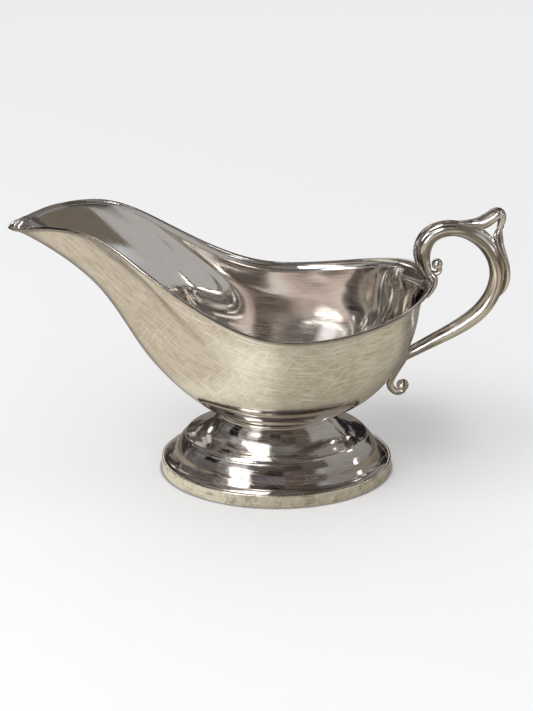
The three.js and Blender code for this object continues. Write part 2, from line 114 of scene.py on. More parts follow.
class HandleSizes(bpy.types.PropertyGroup):
    reach: length("Reach", "Back of the rim to the middle of the arm's back", 26.5)
    rise: length("Rise", "Back of the rim up to the top of the arm", 21.9)
    drop: length("Drop", "Back of the rim down to the arm's lower joint", 33.2)
    arm_thickness: length("Arm thickness", "Arm seen from the side", 6.3)
    arm_width: length("Arm width", "Arm across the boat", 6.0)
    leaf_thickness: length("Leaf thickness", "Leaves seen from the side", 2.4)
    leaf_width: length("Leaf width", "Leaves across the boat", 7.6)
    upper_ball: length("Upper ball radius", "Ball at the end of the upper curl", 2.3)
    lower_ball: length("Lower ball radius", "Ball at the end of the tail", 2.7)
    knuckle: length("Knuckle radius", "Ball between the thumb piece and the back leaf", 1.5)
    tongue_length: length("Tongue length", "Tongue lapped over the back of the rim", 12.0)
    tongue_width: length("Tongue width", "Tongue across the boat", 6.4)
    tail_drop: length("Tail drop", "Back of the rim down to the tail's end", 48.7)
    tail_length: length("Tail length", "Tail along the back of the bowl", 12.0)
    tail_thickness: length("Tail thickness", "Tail seen from the side", 2.8)
    tail_width: length("Tail width", "Tail across the boat", 4.4)


class SilverLook(bpy.types.PropertyGroup):
    plate: colour("Plate", "Warm silver plate", (0.90, 0.87, 0.83))
    worn: colour("Worn plate", "Plate where polishing has thinned it", (0.68, 0.63, 0.55))
    scratch: colour("Scratch", "Fresh bright metal in the hairlines", (0.99, 0.97, 0.93))
    # The colour below is real tarnish and also the colour of painted shade: low on the foot, on the lip's
    # edge, at the bottom of the bowl and in streaks on the handle.
    tarnish: colour("Tarnish", "Brown-grey film left in hollows", (0.22, 0.18, 0.155))
    satin_roughness: share("Satin roughness", "Roughness of the rubbed outside", 0.09)
    bright_roughness: share("Bright roughness", "Roughness of the polished faces", 0.05)
    cast_roughness: share("Cast roughness", "Roughness of the cast handle", 0.1)


class StageLook(bpy.types.PropertyGroup):
    floor_near: colour("Floor near", "Floor in front of the boat", (0.95, 0.95, 0.955))
    floor_far: colour("Floor far", "Floor behind the boat", (0.925, 0.925, 0.93))
    pool: colour("Pool of light", "Lit middle of the table, as mirrored", (1.0, 0.965, 0.82))
    table: colour("Table glow", "Table round it, as mirrored", (0.53, 0.49, 0.395))
    spout_side: colour("Table by the spout", "Table under the spout, as mirrored", (0.67, 0.60, 0.495))
    near_table: colour("Near table glow", "Pinker near edge of the table, as mirrored", (0.5, 0.40, 0.34))
    room: colour("Room glow", "Room lower down, as mirrored", (0.36, 0.31, 0.28))
    ceiling: colour("Ceiling glow", "Room overhead, as mirrored", (0.17, 0.16, 0.16))
    distance: length("Camera distance", "Camera to the middle of the boat", 500.0)
    elevation: FloatProperty(name="Camera elevation", description="Camera above the horizon",
                             default=math.radians(27.0), subtype="ANGLE")
    focal: length("Focal length", "Focal length on a 36 mm frame", 57.82)


# Outlines, as shares of the sizes above.
# Rim, half of a symmetric closed curve: reach, half width, height from waist to crest
RIM_OUTLINE = (
    (-1.002, 0.0, 0.859), (-0.996, 0.08, 0.906), (-0.954, 0.215, 0.916), (-0.812, 0.361, 1.024),
    (-0.631, 0.547, 0.982), (-0.462, 0.757, 0.627), (-0.264, 0.894, 0.253), (-0.064, 1.007, -0.018),
    (0.314, 1.005, 0.0), (0.704, 0.835, 0.141), (0.937, 0.486, 0.277), (1.032, 0.0, 0.285),
)
# Wall from the middle of the floor to the lip: shares of the neck's oval and of the rim, height
SPOUT_PROFILE = (
    (0, 0, 0), (0.55, 0, 0), (1, 0, 0), (0.93, 0.07, 0.02), (0.585, 0.415, 0.33), (0.43, 0.57, 0.735),
    (0.045, 0.955, 0.995), (0, 1, 1),
)
SIDE_PROFILE = (
    (0, 0, 0), (0.55, 0, 0), (1, 0, 0), (0.72, 0.28, 0.075), (0.41, 0.59, 0.305), (0.15, 0.85, 0.55),
    (0, 1.012, 0.8), (0, 1, 1),
)
REAR_PROFILE = (
    (0, 0, 0), (0.55, 0, 0), (1, 0, 0), (0.8, 0.2, 0.06), (0.46, 0.54, 0.17), (0.08, 0.92, 0.6),
    (0.075, 0.925, 0.91), (0, 1, 1),
)
# Pedestal from the neck down to the flange: share of the way from foot edge to neck, share of the height
PEDESTAL_PROFILE = (
    (1.0, 1.02), (1.0, 0.945), (0.93, 0.865), (0.85, 0.77), (0.765, 0.69), (0.68, 0.625), (0.585, 0.57),
    (0.485, 0.525), (0.43, 0.495), (0.402, 0.45), (0.362, 0.405), (0.313, 0.335), (0.26, 0.235),
    (0.215, 0.12), (0.172, 0.035), (0.158, 0.02),
)
# Arm: share of the reach, share of the rise or drop, thickness against the arm's
ARM_OUTLINE = (
    (-0.085, 0.03, 0.45), (-0.16, 0.2, 0.8), (-0.225, 0.4, 1.05), (-0.23, 0.62, 1.2),
    (-0.155, 0.87, 1.21), (0.061, 1.018, 1.15), (0.325, 1.019, 0.98), (0.571, 0.925, 1.14),
    (0.787, 0.718, 1.1), (0.949, 0.412, 1.0), (1.021, 0.057, 1.01), (0.969, -0.223, 1.06),
    (0.787, -0.481, 1.12), (0.502, -0.671, 1.08), (0.171, -0.83, 0.99), (-0.167, -0.996, 0.87),
    (-0.47, -1.14, 0.8),
)
# Leaves, in the arm's shares, then thickness and width against the leaves' own
THUMB_OUTLINE = (
    (0.15, 1.1, 0.42, 0.32), (0.33, 1.11, 0.9, 0.51), (0.5, 1.09, 1.75, 0.63),
    (0.65, 1.095, 2.45, 0.76), (0.785, 1.2, 2.5, 0.92), (0.9, 1.337, 1.95, 1.07),
    (0.98, 1.295, 1.6, 0.8), (0.985, 1.158, 1.45, 0.53), (0.972, 1.055, 1.0, 0.42),
)
BACK_LEAF_OUTLINE = (
    (0.962, 0.97, 1.15, 0.37), (0.945, 0.82, 2.0, 0.45), (0.99, 0.655, 1.5, 0.69),
    (1.08, 0.426, 1.2, 0.91), (1.147, 0.188, 1.15, 1.04), (1.16, -0.03, 1.15, 0.94),
    (1.125, -0.15, 0.95, 0.71), (1.07, -0.235, 0.4, 0.32),
)
CURL_OUTLINE = (
    (-0.13, 0.2, 0.95, 0.55), (-0.08, 0.1, 0.95, 0.55), (0.005, 0.065, 0.95, 0.5),
    (0.085, 0.13, 0.9, 0.48), (0.07, 0.235, 0.8, 0.45),
)
KNUCKLE_PLACE = (0.974, 1.05)
UPPER_BALL_PLACE = (0.028, 0.285)
# Tongue: shares of its length out from the rim's edge and above it, thickness and width shares
TONGUE_OUTLINE = (
    (-0.133, 0.175, 0.5, 0.6), (0.0, 0.135, 0.8, 0.85), (0.055, -0.1, 0.95, 1.0),
    (-0.035, -0.39, 1.05, 0.85), (-0.2, -0.72, 0.6, 0.4),
)
# Tail: share of its length, distance off the wall in half thicknesses, thickness and width shares
TAIL_OUTLINE = (
    (1.3, 0.8, 1.3, 1.2), (0.98, 0.95, 1.3, 1.15), (0.65, 1.05, 1.25, 1.1), (0.33, 1.3, 1.2, 1.0),
    (0.0, 2.2, 1.15, 0.9),
)
# Curl of the tail, in radii of the lower ball from the ball's middle, then the shares
TAIL_CURL = ((-1.6, -0.95, 1.1, 0.85), (-0.6, -1.5, 0.95, 0.8), (0.2, -0.9, 0.9, 0.75))
LOWER_BALL_PLACE = (2.35, -0.2)

SPOUT_SIDES = (0.25, 0.7)  # shares of the spout's reach between which the lip narrows
EGG_HEIGHTS = (0.95, 0.2)  # shares of the waist's height where the wall's egg starts and is whole
LIP_SHOULDER = 0.9  # share of the lip where its rounded edge starts
CAP_TURNS = (15, 30, 45, 60, 74, 86)  # degrees of the rings that close a limb's end
CAP_REACH = 0.8  # length of a limb's end against its half thickness
UP = np.array((0.0, 0.0, 1.0))
ACROSS = np.array((0.0, 1.0, 0.0))


# Curves

def stacked(*parts):
    """Arrays set side by side along a new last axis."""
    return np.stack(np.broadcast_arrays(*parts), axis=-1)


def unit(vectors):
    """Vectors scaled to length one along their last axis."""
    return vectors / np.linalg.norm(vectors, axis=-1, keepdims=True)


def turns(count):
    """Even angles round a full turn."""
    return 2 * math.pi * np.arange(count) / count


def smooth(low, high, x):
    """From 0 at low to 1 at high along the cubic 3f^2 - 2f^3."""
    f = np.clip((x - low) / (high - low), 0, 1)
    return f * f * (3 - 2 * f)


def bezier(start, bend, end, f):
    """A quadratic Bezier curve: (1-f)^2 of the start, 2f(1-f) of the bend and f^2 of the end."""
    return (1 - f) ** 2 * start + 2 * f * (1 - f) * bend + f ** 2 * end


def mirrored(points):
    """Points with one more past each end, mirrored in it."""
    points = np.asarray(points, float)
    return np.concatenate([2 * points[:1] - points[1:2], points, 2 * points[-1:] - points[-2:-1]])


def around(run, t):
    """The four points of a run round the place of each t, and how far t is between the middle two."""
    spans = len(run) - 3
    place = np.asarray(t, float) * spans
    i = np.clip(np.floor(place).astype(int), 0, spans - 1)
    return [run[i + k] for k in range(4)], (place - i)[..., None]


def spline(points, t, closed=False):
    """A uniform cubic B-spline at every t from 0 to 1: four neighbouring points weighted by (1-f)^3,
    3f^3-6f^2+4, -3f^3+3f^2+3f+1 and f^3, over six. An open one starts and ends on its end points."""
    if closed:
        run, t = np.concatenate([points[-1:], points, points[:2]]), np.mod(t, 1.0)
    else:
        run = mirrored(points)
    near, f = around(run, t)
    basis = ((1 - f) ** 3, 3 * f ** 3 - 6 * f ** 2 + 4, -3 * f ** 3 + 3 * f ** 2 + 3 * f + 1, f ** 3)
    return sum(weight * point for weight, point in zip(basis, near)) / 6


def through(points, t):
    """A Catmull-Rom curve at every t: a cubic through neighbours, whose slope at each point is half the
    difference of the points on either side."""
    (a, b, c, d), f = around(mirrored(points), t)
    return b + 0.5 * f * (c - a + f * (2 * a - 5 * b + 4 * c - d + f * (3 * (b - c) + d - a)))


def rounded(corners, radius, steps=5, most=0.45):
    """A closed polygon with its corners rounded: each becomes a quadratic Bezier curve between points that
    lie the radius away from it on both sides, or at most a share of the shorter side."""
    corners = np.asarray(corners, float)
    back, on = (np.roll(corners, way, axis=0) - corners for way in (1, -1))
    near = np.minimum(np.linalg.norm(back, axis=1), np.linalg.norm(on, axis=1))[:, None] * most
    start, end = (corners + unit(side) * np.minimum(radius, near) for side in (back, on))
    f = np.linspace(0, 1, steps)[None, :, None]
    return bezier(start[:, None], corners[:, None], end[:, None], f).reshape(-1, 2)


# Bowl

def rim_control(bowl):
    """The rim's control points: the outline's shares times reach, width and height, then mirrored."""
    along, side, height = np.array(RIM_OUTLINE).T
    half = stacked(along * np.where(along < 0, bowl.spout_reach, bowl.rear_reach), side * bowl.half_width,
                   bowl.waist + height * (bowl.crest - bowl.waist))
    return np.concatenate([half, half[-2:0:-1] * (1, -1, 1)])


def rim_line(bowl, t):
    """The rim's edge, its direction, and its direction turned outward in plan, at every t."""
    control = rim_control(bowl)
    place, after, before = (spline(control, t + way * STEP, closed=True) for way in (0, 1, -1))
    along = unit(after - before)
    return place, along, unit(stacked(-along[..., 1], along[..., 0], 0))


def raised(bowl, foot, t, s):
    """The wall as it follows from the rim, as rows of s by columns of t.

    The wall's top lies below and inside the rim by the lip's rise and flare. A point is the neck's oval
    times the profile's first share plus that top times its second, at a height of its third. The profile
    is the side one, blended towards the spout's or the rear's by a power of the rim's direction.
    """
    place, _, out = rim_line(bowl, t)
    tip = np.clip(-out[:, 0], 0, None) ** 3
    beside = 1 - bowl.spout_narrowing * smooth(*SPOUT_SIDES, -place[:, 0] / bowl.spout_reach) * (1 - tip)
    rise = bowl.lip_rise * (1 - bowl.tip_flatness * tip) * beside
    top = place - out * bowl.lip_flare * beside[:, None] - UP * rise[:, None]
    ahead = place[:, 0] / np.hypot(place[:, 0], place[:, 1])
    lean = (np.abs(ahead) ** bowl.profile_blend)[None, :, None]
    profiles = (SIDE_PROFILE, SPOUT_PROFILE, REAR_PROFILE)
    side, spout, rear = (spline(profile, s)[:, None] for profile in profiles)
    ends = np.where((ahead < 0)[None, :, None], spout, rear)
    neck, reach, height = np.moveaxis(side * (1 - lean) + ends * lean, -1, 0)
    angle = math.pi * (1 - 2 * t)
    return stacked(neck * foot.neck_half_length * np.cos(angle) + reach * top[:, 0],
                   neck * foot.neck_half_width * np.sin(angle) + reach * top[:, 1],
                   bowl.floor + (top[:, 2] - bowl.floor) * height)


def wall(bowl, foot, t, s):
    """Outer surface of the bowl below the lip, as rows of s by columns of t.

    Below the waist the raised wall is drawn straight towards an egg round a middle at each height, which
    meets it at the spout, the rear and the sides. In any direction one over the egg's radius squared is
    cos^2 over that of an end, plus sin^2 over that of the side squared.
    """
    points = raised(bowl, foot, t, s)
    x, y, z = np.moveaxis(points, -1, 0)
    span = 1 / (len(SIDE_PROFILE) - 1)
    level = np.linspace(span, 1, WALL_SAMPLES)
    front, back = raised(bowl, foot, np.array([0.0, 0.5]), level).transpose(1, 0, 2)
    neck, reach, height = spline(SIDE_PROFILE, level).T
    most = bowl.half_width - bowl.lip_flare
    spread = neck * foot.neck_half_width + reach * most
    width = np.interp(z, bowl.floor + height * (bowl.waist - bowl.lip_rise - bowl.floor), spread)
    middle = bowl.belly_middle * np.clip((width - foot.neck_half_width) / (most - foot.neck_half_width), 0, 1)
    radius = np.maximum(np.hypot(x - middle, y), 1e-9)
    turn = (x - middle) / radius
    ahead = middle - np.interp(z, front[:, 2], front[:, 0])
    behind = np.interp(z, back[:, 2], back[:, 0]) - middle
    ends = ((1 + turn) / behind ** 2 + (1 - turn) / ahead ** 2) / 2
    egg = (turn ** 2 * ends + (1 - turn ** 2) / width ** 2) ** -0.5
    climb = (z - bowl.floor) / (bowl.waist - bowl.floor)
    scale = 1 + (egg / radius - 1) * smooth(span, 3 * span, s)[:, None] * smooth(*EGG_HEIGHTS, climb)
    return stacked(middle + (x - middle) * scale, y * scale, z)


def wall_outward(bowl, foot, t, s):
    """Outward normals of the wall: the cross product of its slopes up the wall and round it."""
    round_it = wall(bowl, foot, t + STEP, s) - wall(bowl, foot, t - STEP, s)
    up = wall(bowl, foot, t, np.minimum(s + STEP, 1)) - wall(bowl, foot, t, s - STEP)
    return unit(np.cross(up, round_it))


def lip_section(bowl, foot, t, shares, rounding):
    """The turned lip, as rows of t by columns round its section: out along a quadratic Bezier curve that
    leaves the wall in its own direction and ends on the rim, round an elliptical edge, and back one sheet's
    thickness inside."""
    edge, along, _ = rim_line(bowl, t)
    top = np.array([1.0])
    start, normal = wall(bowl, foot, t, top)[0], wall_outward(bowl, foot, t, top)[0]
    bend = start + np.cross(along, normal) * bowl.lip_bend

    def at(f):
        f = f[None, :, None]
        onward = unit((1 - f) * (bend - start)[:, None] + f * (edge - bend)[:, None])
        place = bezier(start[:, None], bend[:, None], edge[:, None], f)
        return place, onward, unit(np.cross(onward, along[:, None]))

    outer, _, normals = at(shares)
    last, onward, last_normal = at(shares[-1:])
    reach = np.linalg.norm(edge[:, None] - last, axis=-1, keepdims=True)
    turn = np.linspace(0, math.pi, rounding + 2)[None, 1:-1, None]
    crown = last + last_normal * bowl.sheet / 2 * (np.cos(turn) - 1) + onward * reach * np.sin(turn)
    return np.concatenate([outer, crown, (outer - normals * bowl.sheet)[:, ::-1]], axis=1)


# Foot

def foot_oval(foot, inset_share, angle):
    """Plan of the foot at a share of the way from its edge to its neck: both half axes shrink by the same
    inset, and the shorter gets back what the neck has to spare, by the share to the power 1.5."""
    inset_share = inset_share[:, None]
    fall = foot.half_length - foot.neck_half_length
    spare = fall - (foot.half_width - foot.neck_half_width)
    long = foot.half_length - inset_share * fall
    short = foot.half_width - inset_share * fall + inset_share ** 1.5 * spare
    return long * np.cos(angle), short * np.sin(angle)


def oval_band(half_length, half_width, height, section, columns):
    """A section of outward and upward steps carried round an oval, as rows of turns by columns."""
    angle = turns(columns)
    x, y = half_length * np.cos(angle), half_width * np.sin(angle)
    out = unit(stacked(x / half_length ** 2, y / half_width ** 2))
    away, up = np.asarray(section, float).T
    return stacked(x[:, None] + out[:, :1] * away, y[:, None] + out[:, 1:] * away, height + up)


def pedestal_rings(foot, floor, steps, columns):
    """The pedestal's sheet, as closed rows down the outside, round the flange and up the inside. The outside
    follows the profile's curve on the foot's ovals. The inside is moved from it by the sheet's thickness
    along its normal."""
    angle = turns(columns)
    down = np.linspace(0, 1, (len(PEDESTAL_PROFILE) - 1) * steps + 1)

    def surface(f, turn):
        inset_share, height = through(PEDESTAL_PROFILE, f).T
        z = foot.band_height + height * (floor - foot.band_height)
        return stacked(*foot_oval(foot, inset_share, turn), z[:, None])

    outer = surface(down, angle)
    slope = surface(np.minimum(down + STEP, 1), angle) - surface(np.maximum(down - STEP, 0), angle)
    round_it = surface(down, angle + STEP) - surface(down, angle - STEP)
    inner = outer + unit(np.cross(round_it, slope)) * foot.sheet
    edge = oval_band(foot.half_length, foot.half_width, foot.band_height,
                     ((-foot.band_sheet, 0), (-foot.band_sheet, -foot.sheet)), columns).transpose(1, 0, 2)
    throat = inner[-1:] * (1, 1, 0) + UP * (foot.band_height - foot.sheet)
    return np.concatenate([outer, edge, throat, inner[-2::-1]])


def band_rings(foot, columns):
    """The base band with the shelf inside it, its corners rounded and its section carried round the foot."""
    inner, inward = -foot.band_sheet, -foot.band_sheet - foot.seat_width
    shelf = foot.band_height - foot.sheet - FLANGE_GAP
    section = rounded([
        (0, 0), (0, foot.band_height), (inner, foot.band_height), (inner, shelf), (inward, shelf),
        (inward, shelf - foot.sheet), (inner, shelf - foot.sheet), (inner, 0),
    ], BAND_ROUNDING)
    return oval_band(foot.half_length, foot.half_width, 0, section, columns)


def bead_rings(foot, floor, sides, columns):
    """The neck's bead: a circle sunk a tenth of its radius into the neck's oval and carried round it."""
    away = foot.bead * 0.9
    circle = foot.bead * stacked(np.cos(turns(sides)), np.sin(turns(sides)))
    return oval_band(foot.neck_half_length + away, foot.neck_half_width + away, floor - foot.bead / 3, circle,
                     columns)


# Handle

def rear_edge(bowl):
    """The back of the rim, which the handle is drawn from, as x and z."""
    place, _, _ = rim_line(bowl, np.array([0.5]))
    return place[0, 0], place[0, 2]


def arm_places(bowl, handle, across, up):
    """Places in the handle's plane, from shares of the arm's reach and of its rise or drop."""
    x, z = rear_edge(bowl)
    return x + across * handle.reach, z + up * np.where(up > 0, handle.rise, handle.drop)


def limb(rows, section=None, sides=48, steps=14):
    """A closed limb in the plane of the handle, as rows along its path by columns round it.

    The path, half thickness and half width are one spline. Each ring is an oval square to the path, times
    the section's radius at each angle and t. The end rings shrink as the cosine and move on as the sine.
    """
    t = np.linspace(0, 1, (len(rows) - 1) * steps + 1)
    x, z, thick, wide = spline(rows, t).T
    slope = unit((spline(rows, np.minimum(t + STEP, 1)) - spline(rows, np.maximum(t - STEP, 0)))[:, :2])
    centre = stacked(x, 0, z)
    onward = stacked(slope[:, 0], 0, slope[:, 1])
    aside = stacked(-slope[:, 1], 0, slope[:, 0])
    angle = turns(sides)[None, :]
    radius = section(angle, t[:, None]) if section else 1.0
    away, side = radius * np.cos(angle), radius * np.sin(angle)
    spokes = aside[:, None] * (thick[:, None] * away)[..., None] + ACROSS * (wide[:, None] * side)[..., None]
    turn = np.radians(CAP_TURNS)
    reach = CAP_REACH * np.minimum(thick, wide)

    def cap(end, way):
        shift = centre[end] + way * onward[end] * reach[end] * np.sin(turn)[:, None]
        return shift[:, None] + spokes[end] * np.cos(turn)[:, None, None]

    return np.concatenate([cap(0, -1)[::-1], centre[:, None] + spokes, cap(-1, 1)])


def ridged(angle, t):
    """The arm's section: a superellipse with a groove beside its outer ridge, which starts past the joint."""
    power = 1.65
    radius = (np.abs(np.cos(angle)) ** power + np.abs(np.sin(angle)) ** power) ** (-1 / power)
    groove = np.exp(-((np.cos(angle) - 0.5) / 0.13) ** 2) * smooth(0.1, 0.3, t)
    return 1.04 * radius - 0.1 * groove


def veined(angle, t):
    """A leaf's section: round, with a groove on each side of its middle that fades out at both tips."""
    return 1 - 0.10 * np.exp(-((np.abs(np.sin(angle)) - 0.6) / 0.16) ** 2) * np.sin(math.pi * t)


def ball(x, z, radius, columns=40, rows=24):
    """A sphere in the plane of the handle, as rings of latitude."""
    tilt = math.pi * (np.arange(rows) + 0.5)[:, None] / rows
    turn = turns(columns)
    flat = radius * np.sin(tilt)
    return stacked(x + flat * np.cos(turn), flat * np.sin(turn), z + radius * np.cos(tilt))


def seated(points, bowl, foot, bite=0.5):
    """Points that would pass through the back of the bowl, held at the wall's x less a bite of its sheet. At
    each height that x is the wall's middle line's, plus a parabola in y through a line beside it."""
    s = np.linspace(0.25, 1, 300)
    middle, beside = wall(bowl, foot, np.array([0.5, 0.51]), s).transpose(1, 0, 2)
    x, y, z = np.moveaxis(points, -1, 0)
    centre = np.interp(z, middle[:, 2], middle[:, 0])
    off = np.interp(z, beside[:, 2], beside[:, 0]) - centre
    wide = np.interp(z, beside[:, 2], np.abs(beside[:, 1]))
    least = centre + off * (y / wide) ** 2 - bite * bowl.sheet
    held = (z > middle[0, 2]) & (z < middle[-1, 2])
    return stacked(np.where(held, np.maximum(x, least), x), y, z)


def tongue_rows(bowl, handle):
    """The tongue's path: shares of its length out from the back of the rim and above it."""
    x, z = rear_edge(bowl)
    out, up, thick, wide = np.array(TONGUE_OUTLINE).T
    return stacked(x + out * handle.tongue_length, z + up * handle.tongue_length,
                   thick * handle.leaf_thickness / 2, wide * handle.tongue_width / 2)


def tail_rows(bowl, foot, handle):
    """The tail's path, with each point off the back of the wall along its normal, then that of its curl, in
    radii of the ball from its middle, and that middle."""
    rear = np.array([0.5])
    rise, away, thick, wide = np.array(TAIL_OUTLINE).T
    height = rear_edge(bowl)[1] - handle.tail_drop + rise * handle.tail_length
    s = np.linspace(0.2, 1, 600)
    level = np.interp(height, wall(bowl, foot, rear, s)[:, 0, 2], s)
    outward = wall_outward(bowl, foot, rear, level)[:, 0]
    off = (away * (SOLDER_GAP + handle.tail_thickness / 2))[:, None]
    place = wall(bowl, foot, rear, level)[:, 0] + outward * off
    half = np.array((handle.tail_thickness, handle.tail_width)) / 2
    tail = np.concatenate([place[:, (0, 2)], stacked(thick, wide) * half], axis=1)
    centre = tail[-1, :2] + np.array(LOWER_BALL_PLACE) * handle.lower_ball
    turn = np.array(TAIL_CURL)
    curl = np.concatenate([centre + turn[:, :2] * handle.lower_ball, turn[:, 2:] * half], axis=1)
    return np.concatenate([tail, curl]), centre


# Meshes

class Shell:
    """One closed surface: a grid of rings whose columns close on themselves, with its sharp rows.

    Either the rows close on themselves too, or a fan to a pole closes each end ring. The UV is in metres:
    the mean length round the columns and the mean length along the rows.
    """

    def __init__(self, rings, rows_close=False, poles=None, sharp_rows=(), inside_rows=None):
        rows, columns = rings.shape[:2]

        def closed(grid):
            grid = np.concatenate([grid, grid[:, :1]], axis=1)
            return np.concatenate([grid, grid[:1]]) if rows_close else grid

        def lengths(axis):
            steps = np.linalg.norm(np.diff(net, axis=axis), axis=2).mean(axis=1 - axis)
            return np.concatenate([[0], steps.cumsum()])

        def corners(values):
            return np.stack([values[:-1, :-1], values[:-1, 1:], values[1:, 1:], values[1:, :-1]], axis=2)

        net, index = closed(rings), closed(np.arange(rows * columns).reshape(rows, columns))
        u, v = lengths(1), lengths(0)
        grid = stacked(u, v[:, None])
        self.points = rings.reshape(-1, 3)
        self.faces = [corners(index).reshape(-1, 4)]
        self.uvs = [corners(grid).reshape(-1, 4, 2)]
        if not rows_close:
            ends = poles or (rings[0].mean(axis=0), rings[-1].mean(axis=0))
            middle = (u[:-1] + u[1:]) / 2
            for pole, row, turn in ((ends[0], 0, 1), (ends[1], -1, -1)):
                fan = stacked(len(self.points), index[row, 1:], index[row, :-1])
                self.points = np.vstack([self.points, pole])
                self.faces.append(fan[:, ::turn])
                fan = np.stack([stacked(middle, v[row]), grid[row, 1:], grid[row, :-1]], axis=1)
                self.uvs.append(fan[:, ::turn])
        self.sharp = [np.sort(stacked(index[row, :-1], index[row, 1:])) for row in sharp_rows]
        self.inside = np.zeros(len(self.points))
        if inside_rows:
            self.inside[index[slice(*inside_rows), :-1].ravel()] = 1.0
            self.inside[-1] = 1.0
        if self.volume() < 0:
            self.faces = [face[:, ::-1] for face in self.faces]
            self.uvs = [uv[:, ::-1] for uv in self.uvs]

    def volume(self):
        """Six times the signed volume: the sum of each triangle's triple product."""
        total = 0.0
        for face in self.faces:
            for k in range(1, face.shape[1] - 1):
                a, b, c = (self.points[face[:, j]] for j in (0, k, k + 1))
                total += float(np.einsum("ij,ij->", a, np.cross(b, c)))
        return total


def linked(name, data, place=None, target=None):
    """A new object in the scene, or one at a place with its -Z turned towards a target, with no roll."""
    thing = bpy.data.objects.new(name, data)
    if place:
        x, y, z = (b - a for a, b in zip(place, target))
        thing.location = place
        thing.rotation_euler = math.atan2(math.hypot(x, y), -z), 0.0, math.atan2(-x, y)
    bpy.context.scene.collection.objects.link(thing)
    return thing


def piece(name, node, slot, material, *shells):
    """One mesh object of all its shells, moved from the foot's middle to the frame's origin. It stands for
    a solid of the frame and rides on its body."""
    starts = np.concatenate([[0], np.cumsum([len(shell.points) for shell in shells])])
    faces = [face + start for shell, start in zip(shells, starts) for face in shell.faces]
    uvs = np.concatenate([uv.reshape(-1, 2) for shell in shells for uv in shell.uvs])
    sizes = np.concatenate([np.full(len(face), face.shape[1]) for face in faces])
    points = np.concatenate([shell.points for shell in shells]) + (FOOT_X, 0, 0)
    mesh = bpy.data.meshes.new(name)
    mesh.vertices.add(len(points))
    mesh.vertices.foreach_set("co", points.ravel())
    mesh.loops.add(int(sizes.sum()))
    mesh.loops.foreach_set("vertex_index", np.concatenate([face.ravel() for face in faces]))
    mesh.polygons.add(len(sizes))
    mesh.polygons.foreach_set("loop_start", np.concatenate([[0], np.cumsum(sizes)[:-1]]))
    mesh.polygons.foreach_set("use_smooth", np.ones(len(sizes), bool))
    mesh.update(calc_edges=True)
    mesh.uv_layers.new(name="UVMap").data.foreach_set("uv", uvs.ravel())
    inside = mesh.attributes.new("inside", "FLOAT", "POINT")
    inside.data.foreach_set("value", np.concatenate([shell.inside for shell in shells]))
    sharp = [rows + start for shell, start in zip(shells, starts) for rows in shell.sharp]
    if sharp:
        ends = np.empty(len(mesh.edges) * 2, np.int32)
        mesh.edges.foreach_get("vertices", ends)
        keys = np.sort(ends.reshape(-1, 2), axis=1) @ (len(points), 1)
        marks = np.isin(keys, np.concatenate(sharp) @ (len(points), 1))
        mesh.attributes.new("sharp_edge", "BOOLEAN", "EDGE").data.foreach_set("value", marks)
    if mesh.validate():
        raise RuntimeError(f"{name}: the mesh had faults")
    mesh.materials.append(material)
    thing = linked(name, mesh)
    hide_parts(node)
    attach(thing, "root")
    return thing


# Finishes

def binary(operation, swapped=False):
    """A method that adds a Math node of two values, swapped for a reflected operator."""
    def apply(self, other):
        return self.math(operation, *((other, self) if swapped else (self, other)))
    return apply


class Wire:
    """A node's output in arithmetic. Each operator adds the Math node of its name."""

    def __init__(self, graph, socket):
        self.graph = graph
        self.socket = socket

    def math(self, operation, *values):
        return self.graph.add("ShaderNodeMath", {"operation": operation}, dict(enumerate(values)))

    __add__, __radd__ = binary("ADD"), binary("ADD", swapped=True)
    __sub__, __rsub__ = binary("SUBTRACT"), binary("SUBTRACT", swapped=True)
    __mul__, __rmul__ = binary("MULTIPLY"), binary("MULTIPLY", swapped=True)
    __pow__ = binary("POWER")

    def __abs__(self):
        return self.math("ABSOLUTE", self)

    def between(self, low, high):
        """Smoothly from 0 at low to 1 at high; low may be the larger."""
        if low > high:
            return 1 - self.between(high, low)
        return self.graph.add("ShaderNodeMapRange", {"interpolation_type": "SMOOTHSTEP"},
                              {"Value": self, "From Min": low, "From Max": high})


